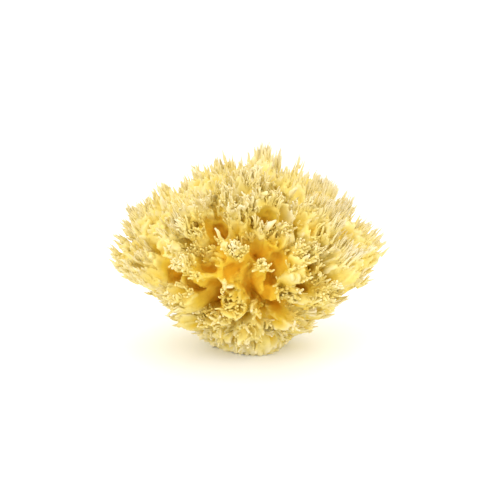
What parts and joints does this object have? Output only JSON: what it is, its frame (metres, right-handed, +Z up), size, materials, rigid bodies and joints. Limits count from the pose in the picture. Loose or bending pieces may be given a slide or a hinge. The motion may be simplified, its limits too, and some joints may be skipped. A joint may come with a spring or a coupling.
{
  "type": "natural sea sponge",
  "caption": "Dried wool sponge, a squat lobed and tufted ball with deep canals, bowl-shaped below and cut flat underneath, for bathing or display.",
  "frame": {"origin": "under the middle of the sponge, on the plane of the flat harvest cut that it rests on", "axes": "+Z up from the cut to the crown, +X along the greatest width, -Y towards the front, where the two deep canals fork round the middle lobe"},
  "size_m": [0.125, 0.1128, 0.0895],
  "materials": {
    "sponge_skeleton": "dry matt spongin fibre, cream at the tips of the tufts, golden on the walls and ochre to orange-brown deep in the canals"
  },
  "bodies": {
    "root": {"sponge": "sponge_skeleton"}
  },
  "joints": []
}
